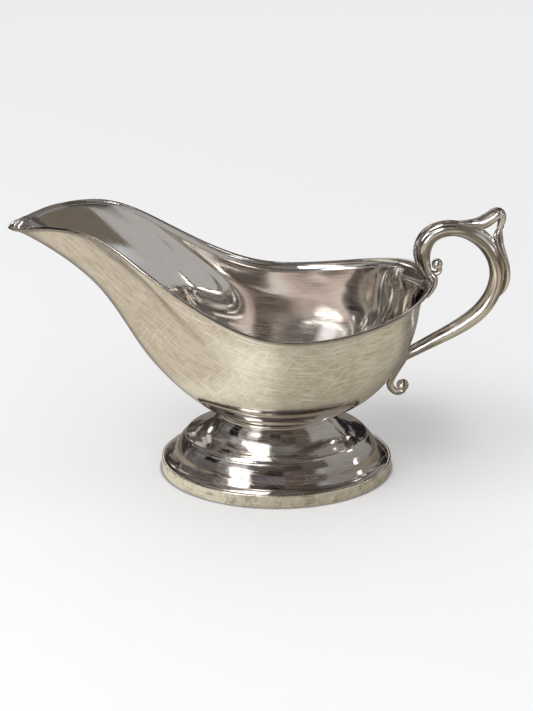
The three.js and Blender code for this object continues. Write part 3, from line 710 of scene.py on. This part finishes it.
class Graph:
    """The nodes of one material or world, emptied first."""

    def __init__(self, owner):
        owner.use_nodes = True
        self.owner = owner
        self.tree = owner.node_tree
        self.tree.nodes.clear()

    def add(self, kind, settings=None, inputs=None, output=0):
        """A node of a type, its settings first, then the values or links of its sockets."""
        node = self.tree.nodes.new(kind)
        for key, value in (settings or {}).items():
            setattr(node, key, value)
        for key, value in (inputs or {}).items():
            if isinstance(value, Wire):
                self.tree.links.new(value.socket, node.inputs[key])
            else:
                node.inputs[key].default_value = value
        return Wire(self, node.outputs[output]) if node.outputs else None

    def mix(self, factor, a, b):
        """From colour a to colour b as the factor goes from 0 to 1."""
        a, b = (tint if isinstance(tint, Wire) else (*tint, 1.0) for tint in (a, b))
        return self.add("ShaderNodeMix", {"data_type": "RGBA"}, {0: factor, 6: a, 7: b}, 2)

    def coordinates(self, kind):
        return self.add("ShaderNodeTexCoord", None, None, kind)

    def split(self, place):
        """The x, y and z of a place."""
        node = self.add("ShaderNodeSeparateXYZ", None, {0: place}).socket.node
        return [Wire(self, part) for part in node.outputs]

    def noise(self, place, scale, detail=2.0, roughness=0.5, flat=False):
        dimensions = {"noise_dimensions": "2D" if flat else "3D"}
        return self.add("ShaderNodeTexNoise", dimensions,
                        {"Vector": place, "Scale": scale, "Detail": detail, "Roughness": roughness}, "Fac")

    def along(self, place, turn, long, fine):
        """The same places turned, then measured in lengths of long by fine, in millimetres."""
        return self.add("ShaderNodeMapping", {"vector_type": "TEXTURE"},
                        {"Vector": place, "Rotation": (0.0, 0.0, turn), "Scale": (long * MM, fine * MM, 1.0)})

    def scratches(self, place, turn, long, fine, rarity):
        """Fine hairlines: noise stretched along one direction, of which only the crests are kept."""
        crest = self.noise(self.along(place, turn, long, fine), 1.0, 1.0, flat=True)
        return crest.between(rarity, rarity + 0.12)

    def bow(self, place, bend, middle):
        """Places bent so that straight lines become shallow arcs: the second coordinate loses a bend times
        the square of the first one's distance from a middle."""
        u, v, _ = self.split(place)
        return self.add("ShaderNodeCombineXYZ", None, {0: u, 1: v - (u - middle) ** 2 * bend})


RUBBED_HEIGHTS = (0.049, 0.044)  # from the rubbed outside of the bowl down to bright plate, which also gets painted shade
PAINTED_SHADE_HEIGHTS = ((0.06, 0.03), (0.019, 0.010))  # painted shade, from little on bright plate down to more


def silver(name):
    """A new material's graph, its UV and its Object coordinates."""
    graph = Graph(bpy.data.materials.new(name))
    return graph, graph.add("ShaderNodeUVMap", {"uv_map": "UVMap"}), graph.coordinates("Object")


def metal(graph, look, layers, roughness, height):
    """The finished material: plate under layers of the look's other colours, its roughness and a bump."""
    tint = look.plate
    for name, amount in layers:
        tint = graph.mix(amount, tint, getattr(look, name))
    normal = graph.add("ShaderNodeBump", None, {"Height": height, "Distance": RELIEF})
    shader = graph.add("ShaderNodeBsdfPrincipled", None, {
        "Base Color": tint, "Metallic": 1.0, "Roughness": roughness, "Normal": normal})
    graph.add("ShaderNodeOutputMaterial", None, {"Surface": shader})
    return graph.owner


def rubbed_silver(look):
    """Outside of the bowl rubbed to a satin in arcs, less where it faces the ends, and bright low down, where
    painted shade also stands for the dark foot that it mirrors. The inside is polished and a little darker."""
    graph, _, place = silver("rubbed_silver")
    inside = graph.add("ShaderNodeAttribute", {"attribute_name": "inside"}, None, "Fac")
    x, _, z = graph.split(place)
    # low: bright plate low on the outside, where painted shade also darkens it
    low = z.between(*RUBBED_HEIGHTS) * (1 - inside)
    rubbed = (1 - inside) * (1 - low)
    _, facing, _ = graph.split(graph.coordinates("Normal"))
    sideways = abs(facing).between(0.1, 0.6) * 0.75 + 0.25
    rearward = x.between(-0.08, 0.0) * 0.5 + 0.5

    wavering = graph.noise(place, 40.0, 1.0) * 0.0045
    side = graph.add("ShaderNodeCombineXYZ", None, {0: x, 1: z + wavering})
    arcs, swirl = graph.bow(side, 5.5, 0.025), graph.bow(side, -2.0, 0.01)
    level = graph.scratches(arcs, 0.02, 13.0, 0.5, 0.56)
    rising = graph.scratches(swirl, 0.62, 13.0, 0.5, 0.6)
    falling = graph.scratches(arcs, -0.45, 24.0, 0.8, 0.60)
    deep = graph.scratches(swirl, 0.95, 30.0, 1.1, 0.66)
    hair = (level * 0.85 + (rising * 0.4 + falling * 0.4 + deep * 0.45) * rearward) * sideways

    streaks = graph.noise(graph.along(arcs, 0.05, 10.0, 1.1), 1.0, 3.0, 0.65, flat=True)
    cloudy = graph.noise(place, 26.0, 4.0, 0.6)
    dabs = graph.noise(place, 260.0, 3.0, 0.65)
    uneven = graph.noise(place, 14.0).between(0.3, 0.65)
    dull = (streaks.between(0.58, 0.42) * (0.25 + uneven * 0.4) * sideways + dabs.between(0.58, 0.42) * 0.45
            + cloudy.between(0.6, 0.35) * 0.3)
    # The darkening is random tarnish, a little more inside the bowl, and painted shade low down, standing for
    # the dark foot that the bowl's bottom mirrors.
    layers = (("worn", dull * (rubbed * 0.8 + 0.2)), ("scratch", hair * (rubbed * 1.1 + 0.12)),
              ("tarnish", cloudy.between(0.42, 0.3) * 0.12 + inside * 0.08 + low * 0.2))
    rough = (rubbed * (look.satin_roughness + hair * 0.12 + dabs * 0.04) + low * look.bright_roughness
             + inside * (look.bright_roughness + cloudy * 0.03 + level * 0.05))
    height = hair * (rubbed * 2.5 + inside * 0.3) + graph.noise(place, 45.0, 1.0) * (rubbed * 10.0 + 4.0)
    return metal(graph, look, layers, rough, height)


def bright_silver(look, name="bright_silver", edge=None):
    """Polished plate with a few wiping marks, soft stamping waves and an even grey film, under painted shade
    that thickens low down for the dark room the foot mirrors, and a painted dark line past an edge, a length
    along the
    UV, over the width of a sheet."""
    graph, uv, place = silver(name)
    wiped = graph.scratches(graph.bow(uv, 0.8, 0.1), 0.03, 30.0, 0.6, 0.58)
    odd = graph.scratches(uv, 0.8, 12.0, 0.6, 0.66)
    cloudy = graph.noise(place, 55.0, 4.0, 0.6)
    _, _, up = graph.split(place)
    high, foot = PAINTED_SHADE_HEIGHTS
    # Painted shade: on top of an even film, the plate darkens below each band of heights, standing for the
    # dark room the foot mirrors.
    film_and_shade = 0.12 + up.between(*high) * 0.32 + up.between(*foot) * 0.22
    if edge is not None:
        past, _, _ = graph.split(uv)
        # Painted shade: a dark line round the lip's rounded edge, just past the end of its outside.
        band = past.between(edge - 0.6 * MM, edge) * past.between(edge + 1.4 * MM, edge + 0.9 * MM)
        film_and_shade = film_and_shade + band * 0.55
    layers = (("worn", cloudy.between(0.35, 0.7) * 0.5), ("tarnish", film_and_shade + cloudy.between(0.55, 0.3) * 0.2),
              ("scratch", wiped * 0.15 + odd * 0.1))
    rough = look.bright_roughness + cloudy * 0.04 + wiped * 0.08 + odd * 0.10
    height = wiped * 0.3 + odd * 0.4 + graph.noise(place, 170.0, 1.0) * 12.0
    return metal(graph, look, layers, rough, height)


def banded_silver(look):
    """Upright plate round the base, scuffed where it meets tables and hands."""
    graph, uv, place = silver("banded_silver")
    level = graph.scratches(uv, 1.57, 20.0, 0.6, 0.53)
    cross = graph.scratches(uv, 0.5, 6.0, 0.7, 0.56)
    dabs = graph.noise(place, 240.0, 3.0, 0.6).between(0.46, 0.64)
    cloudy = graph.noise(place, 60.0, 4.0, 0.6)
    layers = (
        ("worn", cloudy.between(0.3, 0.7) * 0.8), ("tarnish", dabs * 0.45 + cloudy.between(0.5, 0.35) * 0.2),
        ("scratch", level * 0.5 + cross * 0.6),
    )
    rough = look.satin_roughness + level * 0.08 + cross * 0.10 + dabs * 0.10
    height = level * 0.5 + cross * 0.7 + dabs * 0.8 + cloudy * 6.0
    return metal(graph, look, layers, rough, height)


def cast_silver(look):
    """Cast plate: bright on its ridges, with soft casting waves, film left in its grooves and painted dark
    streaks along its length that stand for the room it mirrors.
    """
    graph, uv, place = silver("cast_silver")
    hollow = graph.add("ShaderNodeNewGeometry", None, None, "Pointiness").between(0.505, 0.46)
    pits = graph.noise(place, 900.0, 2.0, 0.6).between(0.62, 0.72)
    hair = graph.scratches(uv, 1.5, 10.0, 0.6, 0.58)
    # Painted reflection: dark streaks along each limb, darkened with the tarnish colour.
    lines = graph.noise(graph.along(uv, 1.57, 35.0, 1.6), 1.0, 2.0, 0.6, flat=True)
    cloudy = graph.noise(place, 90.0, 4.0, 0.6)
    layers = (("worn", cloudy.between(0.35, 0.7) * 0.35), ("tarnish", lines.between(0.49, 0.56) * 0.8),
              ("tarnish", hollow * 0.7 + cloudy.between(0.52, 0.3) * 0.35), ("scratch", hair * 0.2))
    rough = look.cast_roughness + cloudy * 0.05 + hair * 0.10 + hollow * 0.15
    height = graph.noise(place, 260.0) * 9.0 + pits * 0.4 + hair * 0.4
    return metal(graph, look, layers, rough, height)


def finish(make):
    """The material that a function makes, made once and kept under the function's name."""
    return bpy.data.materials.get(make.__name__) or make(bpy.context.scene.silver_look)


# Pieces

class BOAT_OT_bowl(bpy.types.Operator):
    """Add the bowl with its spout"""

    bl_idname = "boat.bowl"
    bl_label = "Bowl"

    def execute(self, context):
        bowl, foot = context.scene.boat_bowl, context.scene.boat_foot
        t = np.arange(BOWL_COLUMNS) / BOWL_COLUMNS
        s = np.linspace(0, 1, BOWL_ROWS + 1)[1:]
        outer = wall(bowl, foot, t, s)
        inner = outer - wall_outward(bowl, foot, t, s) * bowl.sheet
        poles = (UP * bowl.floor, UP * (bowl.floor + bowl.sheet))
        shell = Shell(np.concatenate([outer, inner[::-1]]), poles=poles,
                      sharp_rows=(BOWL_ROWS - 1, BOWL_ROWS), inside_rows=(BOWL_ROWS, 2 * BOWL_ROWS))
        piece("bowl_shell", "bowl", "silver_satin", finish(rubbed_silver), shell)
        return {"FINISHED"}


class BOAT_OT_lip(bpy.types.Operator):
    """Add the turned lip round the bowl"""

    bl_idname = "boat.lip"
    bl_label = "Turned lip"

    def execute(self, context):
        t = np.arange(LIP_COLUMNS) / LIP_COLUMNS
        shares = np.linspace(0, LIP_SHOULDER, LIP_STEPS)
        rings = lip_section(context.scene.boat_bowl, context.scene.boat_foot, t, shares, LIP_EDGE_STEPS)
        outside = np.linalg.norm(np.diff(rings[:, :LIP_STEPS], axis=1), axis=2).mean(axis=0).sum()
        # The lip's material gets a painted dark line round its rounded edge, at the end of its outside.
        lip = bright_silver(context.scene.silver_look, "lip_silver", float(outside))
        piece("turned_lip", "rim_wire", "silver_polished", lip, Shell(rings, rows_close=True))
        return {"FINISHED"}


class BOAT_OT_foot(bpy.types.Operator):
    """Add the pedestal, its base band and the bead round the neck"""

    bl_idname = "boat.foot"
    bl_label = "Foot"

    def execute(self, context):
        foot, floor = context.scene.boat_foot, context.scene.boat_bowl.floor
        pedestal = Shell(pedestal_rings(foot, floor, PEDESTAL_STEPS, FOOT_COLUMNS), rows_close=True)
        band = Shell(band_rings(foot, BAND_COLUMNS), rows_close=True)
        bead = Shell(bead_rings(foot, floor, BEAD_SIDES, FOOT_COLUMNS), rows_close=True)
        piece("pedestal_shell", "pedestal", "silver_polished", finish(bright_silver), pedestal)
        piece("base_band", "foot_band", "silver_satin", finish(banded_silver), band)
        piece("neck_bead", "neck_collar", "silver_satin", finish(bright_silver), bead)
        return {"FINISHED"}


class BOAT_OT_handle(bpy.types.Operator):
    """Add the scroll handle and the leaves, curls and balls on it"""

    bl_idname = "boat.handle"
    bl_label = "Handle"

    def execute(self, context):
        bowl, foot, handle = context.scene.boat_bowl, context.scene.boat_foot, context.scene.boat_handle

        def cast_piece(name, node, *rings):
            piece(name, node, "silver_cast", finish(cast_silver), *map(Shell, rings))

        def rows(outline, thickness=handle.leaf_thickness, width=handle.leaf_width):
            """Rows of x, z, half thickness and half width. An outline without widths has its thicknesses."""
            across, up, thick, wide = np.array([(*row, row[-1])[:4] for row in outline]).T
            return stacked(*arm_places(bowl, handle, across, up), thick * thickness / 2, wide * width / 2)

        def ball_at(place, radius):
            return ball(*arm_places(bowl, handle, *place), radius)

        arm = limb(rows(ARM_OUTLINE, handle.arm_thickness, handle.arm_width), ridged)
        tail, ball_middle = tail_rows(bowl, foot, handle)
        cast_piece("handle_arm", "handle_scroll", seated(arm, bowl, foot))
        cast_piece("thumb_leaf", "thumb_piece", limb(rows(THUMB_OUTLINE), veined),
                   ball_at(KNUCKLE_PLACE, handle.knuckle))
        cast_piece("arm_leaf", "back_leaf", limb(rows(BACK_LEAF_OUTLINE), veined))
        cast_piece("upper_curl", "upper_terminal", limb(rows(CURL_OUTLINE)),
                   ball_at(UPPER_BALL_PLACE, handle.upper_ball))
        cast_piece("rim_leaf", "rim_tongue", seated(limb(tongue_rows(bowl, handle)), bowl, foot))
        cast_piece("lower_tail", "lower_terminal", seated(limb(tail), bowl, foot),
                   ball(*ball_middle, handle.lower_ball))
        return {"FINISHED"}


# Stage

FLOOR_SIZE = 4.0
# Palest floor colour, also painted as light in front of the boat over its own shadow
FLOOR_PALE = (0.99, 0.99, 0.99)
# Colour of the painted shadow behind the foot's handle end
FLOOR_SHADE = (0.4, 0.4, 0.4)
# Colour of the painted contact shadow under the foot's edge
FLOOR_CONTACT_SHADOW = (0.2, 0.2, 0.2)
# Middle of the painted shadow behind the foot
SHADE_MIDDLE = (0.07, 0.035)
POOL_MIDDLE, POOL_SQUEEZE = (-0.04, -0.15), 0.03 ** 0.5
STUDIO_WHITE = (0.82, 0.82, 0.82, 1)
SOFTBOXES = (("overhead_softbox", (-0.5, -0.3, 0.8), 0.45, 2.0), ("side_softbox", (0.9, 0.5, 0.8), 0.7, 0.4))
SOFTBOX_AIM = (0.0, 0.0, 0.03)
CAMERA_AIM = (FOOT_X - 4.5 * MM, 0.0, 56.2 * MM)
SENSOR_WIDTH = 36.0

# Patches of the room that the silver mirrors: the middle in degrees round from the camera's side towards the
# handle and in degrees up, half width, half height, soft edge, colour. Later ones cover earlier ones.
WALL_PATCHES = (
    (-62, 12, 34, 12, 10, (0.23, 0.22, 0.22)), (-44, 48, 16, 20, 8, (0.5, 0.48, 0.47)),
    (14, 18, 24, 24, 10, (0.2, 0.17, 0.15)), (14, 52, 22, 10, 8, (0.26, 0.25, 0.25)),
    (88, 52, 40, 16, 10, (0.22, 0.21, 0.205)), (-90, 56, 12, 10, 5, (0.4, 0.37, 0.32)),
    (137, 28, 22, 24, 5, (0.02, 0.019, 0.021)), (-172, 20, 6, 12, 3, (0.5, 0.4, 0.37)),
    (-20, 24, 18, 3, 5, (0.3, 0.28, 0.26)), (-134, 11, 26, 14, 6, (0.08, 0.07, 0.064)),
    (-156, 26, 7, 7, 4, (0.2, 0.185, 0.16)), (-176, 32, 6, 8, 4, (0.8, 0.68, 0.64)),
    (-70, 74, 26, 6, 4, (0.8, 0.76, 0.72)), (-128, 49, 5, 6, 3, (0.8, 0.76, 0.7)),
    (-147, 25, 2, 10, 1, (0.7, 0.66, 0.6)),
)
CLUTTER_DARK = (0.03, 0.026, 0.025)
CLUTTER_LIGHT = (0.8, 0.78, 0.76)
LAMP_PATCHES = (
    (81, 18, 38, 19, 6, (0.47, 0.46, 0.455)), (36, 14, 1, 3, 9, (0.6, 0.63, 0.68)),
    (50, 62, 14, 14, 6, (0.09, 0.08, 0.072)), (-8, 3, 14, 4, 3, (0.27, 0.26, 0.3)),
    (18, 26, 8, 4, 8, (0.09, 0.075, 0.06)), (-62, 27, 7, 4, 5, (0.02, 0.016, 0.012)),
    (-1, 15, 4, 2, 6, (0.05, 0.042, 0.038)), (33, 34, 9, 14, 4, (0.17, 0.145, 0.12)),
    (172, 20, 6, 12, 2, (0.12, 0.1, 0.09)), (-30, 18, 3, 8, 9, (1.1, 1.06, 1.1)),
    (-28, 7, 3, 6, 9, (8.0, 8.0, 8.0)), (-26, 54, 11, 12, 9, (4.5, 4.5, 4.5)),
    (-121, 28, 2, 4, 2, (2.5, 2.4, 2.3)), (-168, 11, 2, 4, 2, (2.5, 2.4, 2.3)),
    (76, 8, 2, 3, 1, (5.0, 5.0, 5.0)), (90, 50, 3, 3, 1, (4.0, 4.0, 4.0)),
    (126, 42, 2, 3, 1, (2.5, 2.5, 2.4)), (136, 33, 3, 3, 2, (0.4, 0.38, 0.36)),
    (-118, 44, 4, 6, 3, (0.9, 0.88, 0.86)), (-149, 38, 1.5, 8, 1, (2.0, 1.9, 1.8)),
    (178, 36, 3, 9, 2, (0.9, 0.86, 0.84)), (-166, 44, 2, 16, 1, (1.8, 1.7, 1.6)),
    (117, 52, 3, 4, 1, (3.0, 3.0, 3.0)), (166, 62, 4, 3, 2, (3.0, 3.0, 3.0)),
)


def add_floor(look, foot):
    """A pale floor, palest far off and in front, where light is painted over the boat's own shadow, with a
    painted shadow behind the foot's handle end and a painted contact shadow close under its edge. The silver
    mirrors it as the warmer table that the boat stands on."""
    mesh = bpy.data.meshes.new("floor")
    corners = [(x * FLOOR_SIZE, y * FLOOR_SIZE, 0) for x, y in ((-1, -1), (1, -1), (1, 1), (-1, 1))]
    mesh.from_pydata(corners, [], [(0, 1, 2, 3)])
    floor = linked("floor", mesh)
    graph = Graph(bpy.data.materials.new("pale_floor"))
    x, y, _ = graph.split(graph.coordinates("Object"))

    def distance(middle=(0.0, 0.0), wide=1.0, deep=1.0):
        """Distance from a place on the floor, with lengths along x and y weighed."""
        across, along = (x - middle[0]) * wide, (y - middle[1]) * deep
        return (across * across + along * along) ** 0.5

    far = distance()
    behind = distance(SHADE_MIDDLE)
    edge = distance((FOOT_X, 0.0), 1 / foot.half_length, 1 / foot.half_width)
    pale = graph.mix(y.between(-0.2, 0.2), look.floor_near, look.floor_far)
    # Painted light: the floor just in front of the boat is made paler over the boat's own shadow.
    pale = graph.mix(y.between(0.0, -0.06) * 0.9, pale, FLOOR_PALE)
    pale = graph.mix(far.between(0.2, 1.1), pale, FLOOR_PALE)
    # Painted shadow behind the foot's handle end.
    pale = graph.mix(behind.between(0.045, 0.005) * 0.35, pale, FLOOR_SHADE)
    # Painted contact shadow close under the foot's edge.
    pale = graph.mix(edge.between(1.035, 1.005) * 0.8, pale, FLOOR_CONTACT_SHADOW)

    lit = distance(POOL_MIDDLE, deep=POOL_SQUEEZE)
    table = graph.mix(x.between(0.0, -0.1), look.table, look.spout_side)
    warm = graph.mix(lit.between(0.005, 0.065), look.pool, table)
    warm = graph.mix(y.between(-0.1, -0.32) * 0.5, warm, look.near_table)
    warm = graph.mix(y.between(-0.005, 0.06) * 0.75, warm, look.ceiling)
    warm = graph.mix(far.between(0.25, 0.8), warm, look.room)
    seen = graph.add("ShaderNodeLightPath", None, None, "Is Glossy Ray")
    cloth = graph.add("ShaderNodeBsdfDiffuse", None, {"Color": graph.mix(seen, pale, warm)})
    graph.add("ShaderNodeOutputMaterial", None, {"Surface": cloth})
    mesh.materials.append(graph.owner)


def add_room(scene, look):
    """A white surround that lights the floor. The silver mirrors a dimmer room with a few lamps, and
    clutter that is tall behind the boat and wide in front of it."""
    scene.world = bpy.data.worlds.new("studio")
    graph = Graph(scene.world)
    way = graph.coordinates("Generated")
    x, y, z = graph.split(way)
    turn = x.math("ARCTAN2", x, -1 * y) * (180 / math.pi)
    lift = z.math("ARCSINE", z) * (180 / math.pi)

    def patched(colour, patches):
        for middle, height, half_wide, half_high, soft, light in patches:
            side = abs(turn - middle).between(half_wide + soft, half_wide)
            level = abs(lift - height).between(half_high + soft, half_high)
            colour = graph.mix(side * level, colour, light)
        return colour

    def shapes(scale):
        place = graph.add("ShaderNodeMapping", None, {"Vector": way, "Scale": scale})
        return graph.noise(place, 1.0, 3.0, 0.6)

    colour = patched(graph.mix(lift.between(-5, 35), look.room, look.ceiling), WALL_PATCHES)
    behind = y.between(-0.1, 0.2)
    clutter = shapes((7.0, 7.0, 1.6)) * behind + shapes((2.2, 2.2, 6.0)) * (1 - behind)
    colour = graph.mix(clutter.between(0.5, 0.4) * 0.6, colour, CLUTTER_DARK)
    colour = graph.mix(clutter.between(0.58, 0.66) * 0.35, colour, CLUTTER_LIGHT)
    colour = patched(colour, LAMP_PATCHES)
    room = graph.add("ShaderNodeBackground", None, {"Color": colour})
    studio = graph.add("ShaderNodeBackground", None, {"Color": STUDIO_WHITE})
    seen = graph.add("ShaderNodeLightPath", None, None, "Is Glossy Ray")
    both = graph.add("ShaderNodeMixShader", None, {0: seen, 1: studio, 2: room})
    graph.add("ShaderNodeOutputWorld", None, {"Surface": both})


def add_camera(scene, look):
    """The camera looks along +Y and down onto the middle of the boat."""
    x, y, z = CAMERA_AIM
    back, up = (look.distance * part(look.elevation) for part in (math.cos, math.sin))
    place = (x, y - back, z + up)
    lens = bpy.data.cameras.new("camera")
    lens.sensor_width, lens.lens, lens.clip_start = SENSOR_WIDTH, look.focal / MM, 0.01
    scene.camera = linked("camera", lens, place, CAMERA_AIM)


class BOAT_OT_stage(bpy.types.Operator):
    """Add the pale floor, the soft studio light and the camera"""

    bl_idname = "boat.stage"
    bl_label = "Stage"

    def execute(self, context):
        look = context.scene.boat_stage
        add_floor(look, context.scene.boat_foot)
        add_room(context.scene, look)
        for name, place, size, power in SOFTBOXES:
            light = bpy.data.lights.new(name, "AREA")
            light.shape, light.size, light.energy = "DISK", size, power
            linked(name, light, place, SOFTBOX_AIM).visible_glossy = False
        add_camera(context.scene, look)
        return {"FINISHED"}


class BOAT_PT_sidebar(bpy.types.Panel):
    """Buttons for each piece, and the sizes and colours they use"""

    bl_idname = "BOAT_PT_sidebar"
    bl_label = "Sauce Boat"
    bl_space_type = "VIEW_3D"
    bl_region_type = "UI"
    bl_category = "Sauce Boat"

    def draw(self, context):
        for operator in OPERATORS:
            self.layout.operator(operator.bl_idname)
        for group in GROUPS:
            sizes = getattr(context.scene, group)
            box = self.layout.box()
            for name in sizes.bl_rna.properties.keys():
                if name not in {"rna_type", "name"}:
                    box.prop(sizes, name)


GROUPS = {
    "boat_bowl": BowlSizes, "boat_foot": FootSizes, "boat_handle": HandleSizes,
    "silver_look": SilverLook, "boat_stage": StageLook,
}
OPERATORS = (BOAT_OT_stage, BOAT_OT_bowl, BOAT_OT_lip, BOAT_OT_foot, BOAT_OT_handle)
CLASSES = (*GROUPS.values(), *OPERATORS, BOAT_PT_sidebar)


def register():
    for kind in CLASSES:
        bpy.utils.register_class(kind)
    for name, group in GROUPS.items():
        setattr(bpy.types.Scene, name, PointerProperty(type=group))


def unregister():
    for name in GROUPS:
        delattr(bpy.types.Scene, name)
    for kind in reversed(CLASSES):
        bpy.utils.unregister_class(kind)


def main():
    """Adds the stage and every piece."""
    register()
    bpy.context.scene.view_settings.view_transform = "Standard"
    for operator in OPERATORS:
        getattr(bpy.ops.boat, operator.bl_idname.split(".")[1])()


if __name__ == "__main__":
    main()
